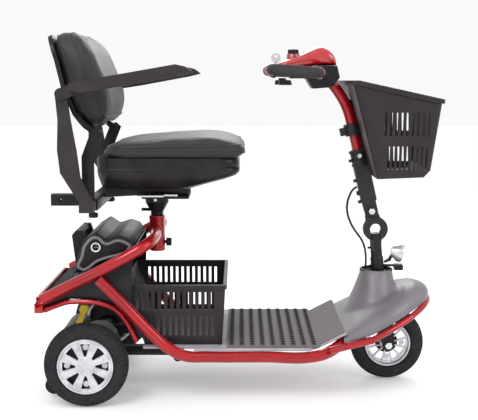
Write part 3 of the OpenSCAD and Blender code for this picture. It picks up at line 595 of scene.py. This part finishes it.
# ---- Seat post, swivel and seat frame ----
# Black enamelled steel: the post with its flared head, the swivel plate with its latch lever, and
# the frame of square tube that carries the seat, the arm posts and the backrest hinges.
softened("seat_post", "seat_post_tube", 0.0010, black_enamel, "seat_column")
softened("post_clamp", "hand_screw", 0.0012, black_moulding, "clamp_screw")
softened("swivel_plate", "swivel_plate_steel", 0.0015, black_enamel, "seat")
softened("swivel_lever", "swivel_latch_lever", 0.0012, chrome, "swivel_latch")
softened("seat_frame", "seat_frame_steel", 0.0012, black_enamel, "seat")
softened("clamp_knobs", "width_knobs", 0.0030, black_moulding, "seat")
for side in ("right", "left"):
    softened("arm_post_" + side, "arm_bracket_" + side, 0.0016, arm_cover, "arm_" + side)

# ---- Seat pan and back shell ----
# Gloss black mouldings: the pan has rounded corners and a shallow groove round its side, the back
# shell wraps the rear of the cushion with a rolled lip.


def rounded_plan(x0, x1, half, corner, level, count=12):
    """A rounded rectangle, centred on Y, at one height."""
    ring = []
    for cx, cy, start in ((x1 - corner, half - corner, 0), (x0 + corner, half - corner, 90),
                          (x0 + corner, corner - half, 180), (x1 - corner, corner - half, 270)):
        for i in range(count):
            turn = math.radians(start + 90 * i / (count - 1))
            ring.append((cx + corner * math.cos(turn), cy + corner * math.sin(turn), level))
    return ring


def loft(rings):
    """Closed solid through rings that all have the same number of points."""
    shape = bmesh.new()
    rows = [[shape.verts.new(p) for p in ring] for ring in rings]
    count = len(rows[0])
    for near, far in zip(rows, rows[1:]):
        for i in range(count):
            shape.faces.new((near[i], near[(i + 1) % count], far[(i + 1) % count], far[i]))
    shape.faces.new(rows[0][::-1])
    shape.faces.new(rows[-1])
    bmesh.ops.recalc_face_normals(shape, faces=shape.faces[:])
    return shape


pan = loft([rounded_plan(x0, x1, half, corner, level) for x0, x1, half, corner, level in (
    (-0.330, -0.122, 0.150, 0.040, 0.5185), (-0.336, -0.112, 0.160, 0.042, 0.5200),
    (-0.339, -0.080, 0.168, 0.044, 0.5300), (-0.342, -0.034, 0.180, 0.046, 0.5430),
    (-0.344, -0.008, 0.187, 0.046, 0.5530), (-0.345, 0.001, 0.190, 0.046, 0.5620),
    (-0.345, 0.002, 0.1895, 0.046, 0.5700), (-0.345, -0.001, 0.1870, 0.046, 0.5740),
    (-0.345, 0.001, 0.1890, 0.046, 0.5780), (-0.345, -0.001, 0.1895, 0.046, 0.5900),
    (-0.344, -0.004, 0.1885, 0.046, 0.5960), (-0.340, -0.008, 0.1850, 0.044, 0.5972))])
settle("seat_pan_shell", pan, black_enamel, "seat", "seat_pan", crease=60.0)
softened("back_shell", "back_shell_panel", 0.0016, black_enamel, "backrest")

# ---- Floor pan and deck mat ----
# A light grey moulded pan with a warm grey rubber mat; the mat has cross ribs and a row of raised
# dots on each rib, and runs up on to the toe board.


def mat_coat(place):
    tread = place.speckle(35.0, 4.0)
    grain = place.speckle(1300.0)
    return {
        "Base Color": tread.tint((0.085, 0.074, 0.076), (0.165, 0.148, 0.148)),
        "Roughness": 0.55 + tread * 0.3,
        "height": (0.00012, grain),
    }


deck_rubber = finish("deck_rubber", {"Specular IOR Level": 0.35}, mat_coat)
softened("floor_pan", "floor_pan_moulding", 0.0016, pan_grey, "root")
softened("floor_mat", "deck_mat", 0.0006, deck_rubber, "root", segments=1)
mat_back = -0.030
mat_front = 0.197
row_pitch = (mat_front - mat_back) / 9
dot_pitch = 0.0225
dots = bmesh.new()
for row in range(9):
    for column in range(17):
        dot = bmesh.new()
        bmesh.ops.create_uvsphere(dot, u_segments=12, v_segments=6, radius=1.0)
        bmesh.ops.scale(dot, vec=(0.0062, 0.0078, 0.0040), verts=dot.verts[:])
        join(dots, shift(dot, (mat_back + (row + 0.5) * row_pitch, (column - 8) * dot_pitch, 0.1384)))
settle("deck_mat_dots", dots, tyre_rubber, "root")

# ---- Rear basket ----
# A dark moulded basket standing on the deck: rounded walls with two rows of tall slots, and a
# thicker rim along their top.
basket_plastic = finish("basket_plastic", {"Specular IOR Level": 0.3},
                        moulded((0.011, 0.008, 0.010), (0.028, 0.021, 0.025), 0.38, 0.00008))
softened("rear_basket", "rear_basket_shell", 0.0010, basket_plastic, "root")

# ---- Front shroud ----
# A smooth grey nose over the front wheel, drawn as one skin: a rounded nose and a skirt round the
# steering column, melted together, trimmed to its sloping lower edge and given 3 mm walls.


def bulged(value, power):
    """A cosine or sine pushed outwards, so that the ring it draws is squarer than an oval."""
    return math.copysign(abs(value) ** power, value)


nose_stations = [(0.240, 0.183, 0.136, 0.150), (0.258, 0.184, 0.142, 0.168), (0.290, 0.178, 0.149, 0.191),
                 (0.329, 0.167, 0.157, 0.216), (0.385, 0.143, 0.178, 0.240), (0.423, 0.118, 0.196, 0.257),
                 (0.455, 0.091, 0.210, 0.262), (0.480, 0.061, 0.222, 0.256), (0.492, 0.033, 0.229, 0.247)]
nose_rings = []
for x, half, low_z, top_z in nose_stations:
    ring = []
    for i in range(48):
        angle = math.tau * i / 48
        across = bulged(math.cos(angle), 0.75)
        up = bulged(math.sin(angle), 0.80)
        rise = top_z - low_z if up > 0 else 0.045
        ring.append((x, half * across, low_z + rise * up))
    nose_rings.append(ring)
skirt_rings = []
for z, x0, x1, half in (
        (0.120, 0.250, 0.400, 0.118), (0.160, 0.262, 0.408, 0.112), (0.195, 0.282, 0.410, 0.098),
        (0.230, 0.297, 0.410, 0.080), (0.262, 0.309, 0.406, 0.060), (0.284, 0.316, 0.402, 0.046),
        (0.305, 0.317, 0.401, 0.042)):
    skirt_rings.append([((x0 + x1) / 2 + (x1 - x0) / 2 * math.cos(math.tau * i / 40),
                         half * math.sin(math.tau * i / 40), z) for i in range(40)])
nose_mesh = bpy.data.meshes.new("nose")
nose = join(loft(nose_rings), loft(skirt_rings))
nose.to_mesh(nose_mesh)
nose.free()
skin = bmesh.new()
skin.from_mesh(remeshed(nose_mesh, 0.0042, 9))


def trim(shape, point, away):
    """Cuts a shape on the plane through point and drops the side that away points to."""
    bmesh.ops.bisect_plane(shape, geom=shape.verts[:] + shape.edges[:] + shape.faces[:], dist=0.00001,
                           plane_co=point, plane_no=away, clear_outer=True)


trim(skin, (0.2585, 0, 0), (-1, 0, 0))
trim(skin, (0.258, 0, 0.1425), (0.206, 0, -0.978))
trim(skin, (0.329, 0, 0.1570), (0.392, 0, -0.920))
trim(skin, (0, 0, 0.2935), (0, 0, 1))
bmesh.ops.recalc_face_normals(skin, faces=skin.faces[:])
if sum(f.normal.z for f in skin.faces) < 0:
    bmesh.ops.reverse_faces(skin, faces=skin.faces[:])
bmesh.ops.solidify(skin, geom=skin.faces[:], thickness=0.003)
settle("front_shroud_skin", skin, grey_moulding, "root", "front_shroud", crease=55.0)
collar = ring_wall([(0.0375, 0.2890), (0.0430, 0.2890), (0.0432, 0.2920), (0.0420, 0.2940),
                    (0.0375, 0.2940)], (0.359, 0, 0))
settle("front_shroud_collar", collar, black_moulding, "root")

# ---- Front bumper ----
# A red round bar that follows the lower edge of the nose; its rear lengths are sleeved in a
# thicker, brighter tube and the bow round the nose is bare.
bumper_side = mm([(219, -211, 130), (262, -194, 136), (329, -173, 146)])
bow = mm([(329, -173, 146), (404, -133, 176), (446, -102, 196), (480, -58, 214), (491, 0, 220),
          (480, 58, 214), (446, 102, 196), (404, 133, 176), (329, 173, 146)])
settle("bumper_bow", tube_mesh([bow], 0.0078, 20), red_paint, "root", "front_bumper")
settle("bumper_sleeves", tube_mesh([bumper_side, far_side(bumper_side)], 0.0092, 24), red_paint, "root")

# ---- Head tube, fork and front axle ----
# The head tube carries two bright bearing cups; the fork is black enamelled flat bar on a round
# stem, and the front axle is bright steel with a nut at each end.
softened("head_tube", "head_tube_steel", 0.0010, red_paint, "root")
softened("head_bearings", "bearing_cups", 0.0010, chrome, "root")
softened("steering_fork", "fork_steel", 0.0016, black_enamel, "steering")
softened("front_axle", "front_axle_bolt", 0.0010, chrome, "steering")

# ---- Tilt knuckle and tiller casting ----
# Cast black knuckle with an open ring, and the casting above it whose two ears take the tilt bolt.
# Both keep a fine cast grain and generous rounded edges.
cast_black = finish("cast_black", {"Specular IOR Level": 0.35},
                    moulded((0.007, 0.006, 0.008), (0.024, 0.021, 0.024), 0.38, 0.00012))
melted("tilt_knuckle", "knuckle_casting", 0.0014, 6, cast_black, "steering")
softened("tilt_bolt", "tilt_bolt_steel", 0.0010, chrome, "steering")
melted("tiller_casting", "tiller_foot", 0.0016, 7, cast_black, "tiller")
softened("basket_bracket", "basket_hanger", 0.0016, cast_black, "tiller")
collar_screw = shift(peg(0.0062, 0.0055, 0.006, 24), (0.3085, -0.0225, 0.590))
settle("tiller_collar_screw", collar_screw, chrome, "tiller")
tiller_lean = math.radians(-13.44)
tiller_foot = (0.343, 0, 0.446)
bands = bmesh.new()
for along, reach in ((0.122, 0.0228), (0.156, 0.0232)):
    join(bands, ring_wall([(0.0200, along), (reach, along), (reach + 0.0006, along + 0.003),
                           (reach, along + 0.006), (0.0200, along + 0.006)], (0, 0, 0), "Z", 40))
for along in (0.030, 0.086, 0.139):
    join(bands, shift(small_box((0.010, 0.013, 0.008), 0.0018), (-0.0235, -0.006, along)))
settle("tiller_clamp_bands", shift(swing(bands, tiller_lean, "Y"), tiller_foot), cast_black, "tiller")
tiller_route = mm([(330, 0, 503), (289, 0, 672), (283, 0, 694), (272, 0, 722), (258, 0, 746),
                   (240, 0, 770), (224, 0, 786)])
settle("tiller_column", tube_mesh([tiller_route], tube_r, 32), red_paint, "tiller", "tiller_tube")

# ---- Control head ----
# A dark lower housing and a glossy red cover between two looped handlebars. Foam-grey grips sit on
# the outer bends; dial, key, horn button and the rocking throttle are on the cover and beneath it.


def soft_grip(place):
    weave = place.cells(650.0)
    rub = place.speckle(30.0, 3.0)
    return {
        "Base Color": rub.tint((0.018, 0.015, 0.018), (0.045, 0.039, 0.044)),
        "Roughness": 0.60 + rub * 0.2,
        "height": (0.00018, weave),
    }


grip_rubber = finish("grip_rubber", {"Specular IOR Level": 0.3}, soft_grip)
red_gloss = finish("red_gloss", {"Coat Weight": 1.0, "Coat Roughness": 0.03, "IOR": 1.5},
                   moulded((0.33, 0.003, 0.006), (0.48, 0.006, 0.010), 0.16, 0.00002))
melted("control_housing", "control_lower_housing", 0.0018, 9, black_moulding, "tiller")
cover_rings = []
for x, low_z, top_z, half in (
        (0.0735, 0.8075, 0.8110, 0.030), (0.0760, 0.8065, 0.8140, 0.036), (0.0830, 0.8068, 0.8185, 0.041),
        (0.1000, 0.8085, 0.8260, 0.044), (0.1250, 0.8108, 0.8345, 0.0455), (0.1500, 0.8132, 0.8440, 0.046),
        (0.1750, 0.8156, 0.8550, 0.046), (0.1950, 0.8176, 0.8640, 0.046), (0.2100, 0.8186, 0.8670, 0.0455),
        (0.2250, 0.8186, 0.8600, 0.044), (0.2360, 0.8187, 0.8500, 0.040), (0.2430, 0.8188, 0.8370, 0.034),
        (0.2455, 0.8190, 0.8260, 0.028)):
    ring = []
    for i in range(36):
        angle = math.tau * i / 36
        across = bulged(math.cos(angle), 0.55)
        up = bulged(math.sin(angle), 0.70)
        ring.append((x, half * across, (low_z + top_z) / 2 + (top_z - low_z) / 2 * up))
    cover_rings.append(ring)
settle("control_cover", loft(cover_rings), red_gloss, "tiller", "control_console", crease=60.0)
dial_x = 0.138
dial_boss = ring_wall([(0.0045, 0.826), (0.0170, 0.826), (0.0170, 0.8455), (0.0160, 0.8475),
                       (0.0045, 0.8478)], (dial_x, 0, 0), "Z", 40)
settle("dial_boss", dial_boss, red_gloss, "tiller")
horn_collar = ring_wall([(0.0088, 0.846), (0.0115, 0.846), (0.0115, 0.8525), (0.0105, 0.8532),
                         (0.0088, 0.8532)], (0.176, 0.026, 0), "Z", 32)
settle("horn_collar", horn_collar, black_moulding, "tiller")


def loop_height(x):
    """The height of the loops' middle, which falls a little towards the front, in millimetres."""
    return 808 - (x - 63) * 0.07


loop = mm([(x, y, loop_height(x)) for x, y in (
    (200, -36), (200, -90), (190, -150), (166, -188), (124, -191), (92, -188), (78, -140), (76, -80),
    (82, -36))])
settle("handlebar_loops", tube_mesh([loop, far_side(loop)], 0.009, 24), black_enamel, "tiller", "handlebar")
grip = mm([(x, y, loop_height(x)) for x, y in (
    (193, -140), (184, -168), (166, -187), (145, -190), (124, -191), (104, -190), (90, -184),
    (82, -168), (79, -150))])
settle("grips", tube_mesh([grip, far_side(grip)], 0.0138, 24), grip_rubber, "tiller", "hand_grips")
bands = bmesh.new()
for side in (-1, 1):
    for x, y, skew in ((193.5, -139, 14), (78.8, -149, -4)):
        band = ring_wall([(0.0092, -0.003), (0.0140, -0.003), (0.0146, 0.0), (0.0140, 0.003),
                          (0.0092, 0.003)], (0, 0, 0), "Y", 32)
        swing(band, math.radians(skew * side), "Z")
        join(bands, shift(band, Vector((x, -y * side, loop_height(x))) * 0.001))
settle("grip_bands", bands, red_gloss, "tiller")
softened("throttle_lever", "throttle_paddles", 0.0018, black_moulding, "throttle", segments=3)
knob_rings = []
for level, radius in ((0.8483, 0.0138), (0.8570, 0.0130), (0.8588, 0.0122)):
    ring = []
    for i in range(64):
        fluted = radius + 0.0005 * (-1) ** (i // 2)
        angle = math.tau * i / 64
        ring.append((dial_x + fluted * math.cos(angle), fluted * math.sin(angle), level))
    knob_rings.append(ring)
shaft = ring_wall([(0.0, 0.836), (0.0038, 0.836), (0.0038, 0.849), (0.0, 0.849)], (dial_x, 0, 0), "Z", 20)
pointer = shift(small_box((0.012, 0.0016, 0.0008), 0.0), (dial_x, 0, 0.8590))
settle("speed_knob", join(loft(knob_rings), shaft, pointer), black_moulding, "dial", "speed_dial")
softened("ignition_key", "key_blade", 0.0005, chrome, "key")
softened("horn_button", "horn_push", 0.0020, yellow_moulding, "horn", segments=3)

# ---- Front basket ----
# A dark moulded basket hooked on the tiller, wider at the rim than the floor, with two rows of
# slots and a rolled rim.
softened("front_basket", "front_basket_shell", 0.0010, basket_plastic, "tiller")

# ---- Headlight and horn ----
# A silver shell with a chrome bowl and a clear domed lens, on a black bracket; the horn is a small
# black box below it with a recessed mouth.
lamp_lean = math.radians(105)
lamp_foot = Vector((0.398, 0.0, 0.340))


def lamp_part(name, profile, material, *nodes):
    """A spun part of the lamp, its profile drawn from the back of the shell forwards."""
    shape = swing(ring_wall(profile, (0, 0, 0)), lamp_lean, "Y")
    return settle(name, shift(shape, lamp_foot), material, "steering", *nodes)


def clear_cover(place):
    haze = place.speckle(80.0)
    return {"Roughness": 0.02 + haze * 0.05}


clear_glass = {"Transmission Weight": 0.9, "IOR": 1.45, "Base Color": (0.95, 0.96, 0.97, 1)}
clear_lens = finish("clear_lens", clear_glass, clear_cover)
lamp_part("headlight_bowl", [
    (0.0, 0.002), (0.009, 0.003), (0.016, 0.010), (0.0215, 0.021), (0.0225, 0.024), (0.0215, 0.024),
    (0.015, 0.0115), (0.008, 0.005), (0.0, 0.004)], chrome, "headlight")
lamp_part("headlight_body", [
    (0.0, 0.0), (0.013, 0.0), (0.0240, 0.0195), (0.0240, 0.0285), (0.0228, 0.0300), (0.0218, 0.0290),
    (0.0218, 0.0240), (0.0228, 0.0205), (0.0128, 0.0015), (0.0, 0.0015)], silver_lacquer)
lamp_part("headlight_bulb", [
    (0.0, 0.004), (0.003, 0.004), (0.0036, 0.013), (0.0026, 0.0165), (0.0, 0.0175)], chrome)
lamp_part("headlight_lens", [
    (0.0, 0.0270), (0.012, 0.0266), (0.0216, 0.0250), (0.0216, 0.0268), (0.012, 0.0288),
    (0.0, 0.0294)], clear_lens)
stalk = outline_plate([(0.380, 0.3075), (0.380, 0.3130), (0.391, 0.3200), (0.397, 0.3320), (0.403, 0.3310),
                       (0.397, 0.3140)], -0.006, 0.006, 0.0010, 2)
ear = outline_plate([(0.366, 0.307), (0.366, 0.314), (0.380, 0.3110), (0.380, 0.3030)], 0.018, 0.022,
                    0.0008, 2)
settle("headlight_stalk", join(stalk, ear), black_enamel, "steering")
softened("horn_box", "horn_housing", 0.0014, black_moulding, "steering")

# ---- Wiring loom ----
# One black sheathed loom from the tiller down behind the stem into the shroud, laid as one fixed piece that
# does not follow the tiller; clips on the stem hold it.
loom_route = mm([(305.5, 0, 508), (296, 0, 501), (287, 0, 485), (281, 0, 462), (282, 0, 440), (288, 0, 420),
                 (298, 0, 400), (310, 0, 383), (320, 0, 369), (327, 0, 352), (331, 0, 332), (332, 0, 312),
                 (331, 0, 292), (332, 0, 276)])
loom = settle("loom", tube_mesh([loom_route], 0.0028, 12), black_moulding, "steering", "wiring_loom")
loom.parent = None
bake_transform(loom)

# ---- Arm pads ----
# Long flip-up arm rests of firm foam in a dark brown-grey cover, rounded along every edge, each on
# a pivot at the top of its post.
for side in ("right", "left"):
    pad = softened("arm_pad_" + side, "arm_rest_" + side, 0.0045, arm_cover, "pad_" + side, segments=4)

# ---- Seat and back cushions ----
# Foam pads covered in black vinyl with a fine grain: each is blown up from its flat-cut shape until
# it crowns, and a welt of piping is sewn round its edge.


def vinyl_cover(place):
    grain = place.cells(420.0)
    pores = place.speckle(2200.0)
    wear = place.speckle(14.0, 3.0)
    return {
        "Base Color": wear.tint((0.011, 0.009, 0.011), (0.027, 0.022, 0.026)),
        "Roughness": 0.40 + wear * 0.18,
        "height": (0.00022, grain.above(0.05, 0.05) * 0.8 + pores * 0.2),
    }


vinyl = finish("black_vinyl", {"Specular IOR Level": 0.4, "Sheen Weight": 0.06}, vinyl_cover)


def eased(mesh, rounds):
    """Smooths a mesh in place."""
    soft = bmesh.new()
    soft.from_mesh(mesh)
    for _ in range(rounds):
        bmesh.ops.smooth_vert(soft, verts=soft.verts[:], factor=0.5, use_axis_x=True, use_axis_y=True,
                              use_axis_z=True)
    soft.to_mesh(mesh)
    soft.free()


def blown_pad(name, node, shrink, cap, force, material, body):
    """A cushion from its CAD solid: drawn in by shrink, remeshed, swollen by Cloth and smoothed.

    cap is the furthest that the swelling may carry a point."""
    frames = 20
    shape = bmesh.new()
    shape.from_mesh(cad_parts[node].data)
    bmesh.ops.remove_doubles(shape, verts=shape.verts[:], dist=0.00001)
    low, high = (Vector(p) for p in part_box(node))
    centre = (low + high) / 2
    size = high - low
    factor = Vector([(s - 2 * shrink) / s for s in size])
    for vert in shape.verts:
        vert.co = Vector([c + (v - c) * f for v, c, f in zip(vert.co, centre, factor)])
    mesh = bpy.data.meshes.new(name)
    shape.to_mesh(mesh)
    shape.free()
    flat = remeshed(mesh, 0.006)
    pad = bpy.data.objects.new(name, flat)
    bpy.context.scene.collection.objects.link(pad)
    eased(flat, 4)
    start = [v.co.copy() for v in flat.vertices]
    cloth = pad.modifiers.new("cloth", "CLOTH")
    cloth.settings.use_pressure = True
    cloth.settings.uniform_pressure_force = force
    cloth.settings.effector_weights.gravity = 0.0
    cloth.settings.tension_stiffness = 30.0
    cloth.point_cache.frame_start = 1
    cloth.point_cache.frame_end = frames
    for step in range(1, frames + 1):
        bpy.context.scene.frame_set(step)
    swollen = worked_out(pad)
    pad.modifiers.clear()
    for vert, was, now in zip(flat.vertices, start, swollen.vertices):
        move = now.co - was
        vert.co = was + move * min(1.0, cap / max(move.length, 1e-6))
    bpy.context.scene.frame_set(1)
    eased(flat, 2)
    flat.shade_smooth()
    flat.materials.clear()
    flat.materials.append(material)
    divide = pad.modifiers.new("divide", "SUBSURF")
    divide.levels = 1
    divide.render_levels = 1
    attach(pad, body)
    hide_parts(node)
    return pad


def welt(name, pad, spots, toward, radius, body):
    """Piping laid on a pad: each spot is dropped on to the cover along the line to toward(spot)."""
    tree = BVHTree.FromPolygons([v.co for v in pad.data.vertices], [p.vertices for p in pad.data.polygons])
    route = []
    for spot in spots:
        aim = toward(spot)
        hit = tree.ray_cast(spot, (aim - spot).normalized())[0]
        if hit is not None:
            route.append(hit + (spot - hit).normalized() * radius * 0.2)
    return settle(name, tube_mesh([route], radius, 12, closed=True, steps=2), vinyl, body)


seat_pad = blown_pad("seat_pad", "seat_cushion", 0.001, 0.005, 4.0, vinyl, "seat")
back_pad = blown_pad("back_pad", "back_cushion", 0.002, 0.009, 4.0, vinyl, "backrest")

welt_r = 0.0026
well_clear = 0.30
seat_x = -0.155
for label, level, tilt in (("lower", 0.609, 0.0), ("upper", 0.625, 0.004)):
    seat_spots = []
    for i in range(72):
        angle = math.tau * i / 72
        reach = Vector((well_clear * math.cos(angle), well_clear * math.sin(angle), 0.0))
        seat_spots.append(Vector((seat_x, 0.0, level + tilt * math.cos(angle))) + reach)
    welt("seat_welt_" + label, seat_pad, seat_spots, lambda p: Vector((seat_x, 0.0, p.z)), welt_r, "seat")

back_mid = Vector((-0.372, 0.0, 0.785))
back_up = Vector((-0.36, 0.0, 0.93)).normalized()
for label, offset in (("rear", -0.020), ("front", 0.014)):
    ahead = Vector((0.93, 0.0, 0.36)).normalized() * offset
    back_spots = []
    for i in range(72):
        angle = math.tau * i / 72
        round_edge = back_up * math.sin(angle) + Vector((0, math.cos(angle), 0))
        back_spots.append(back_mid + ahead + well_clear * round_edge)
    welt("back_welt_" + label, back_pad, back_spots, lambda p, c=back_mid + ahead: c, welt_r, "backrest")
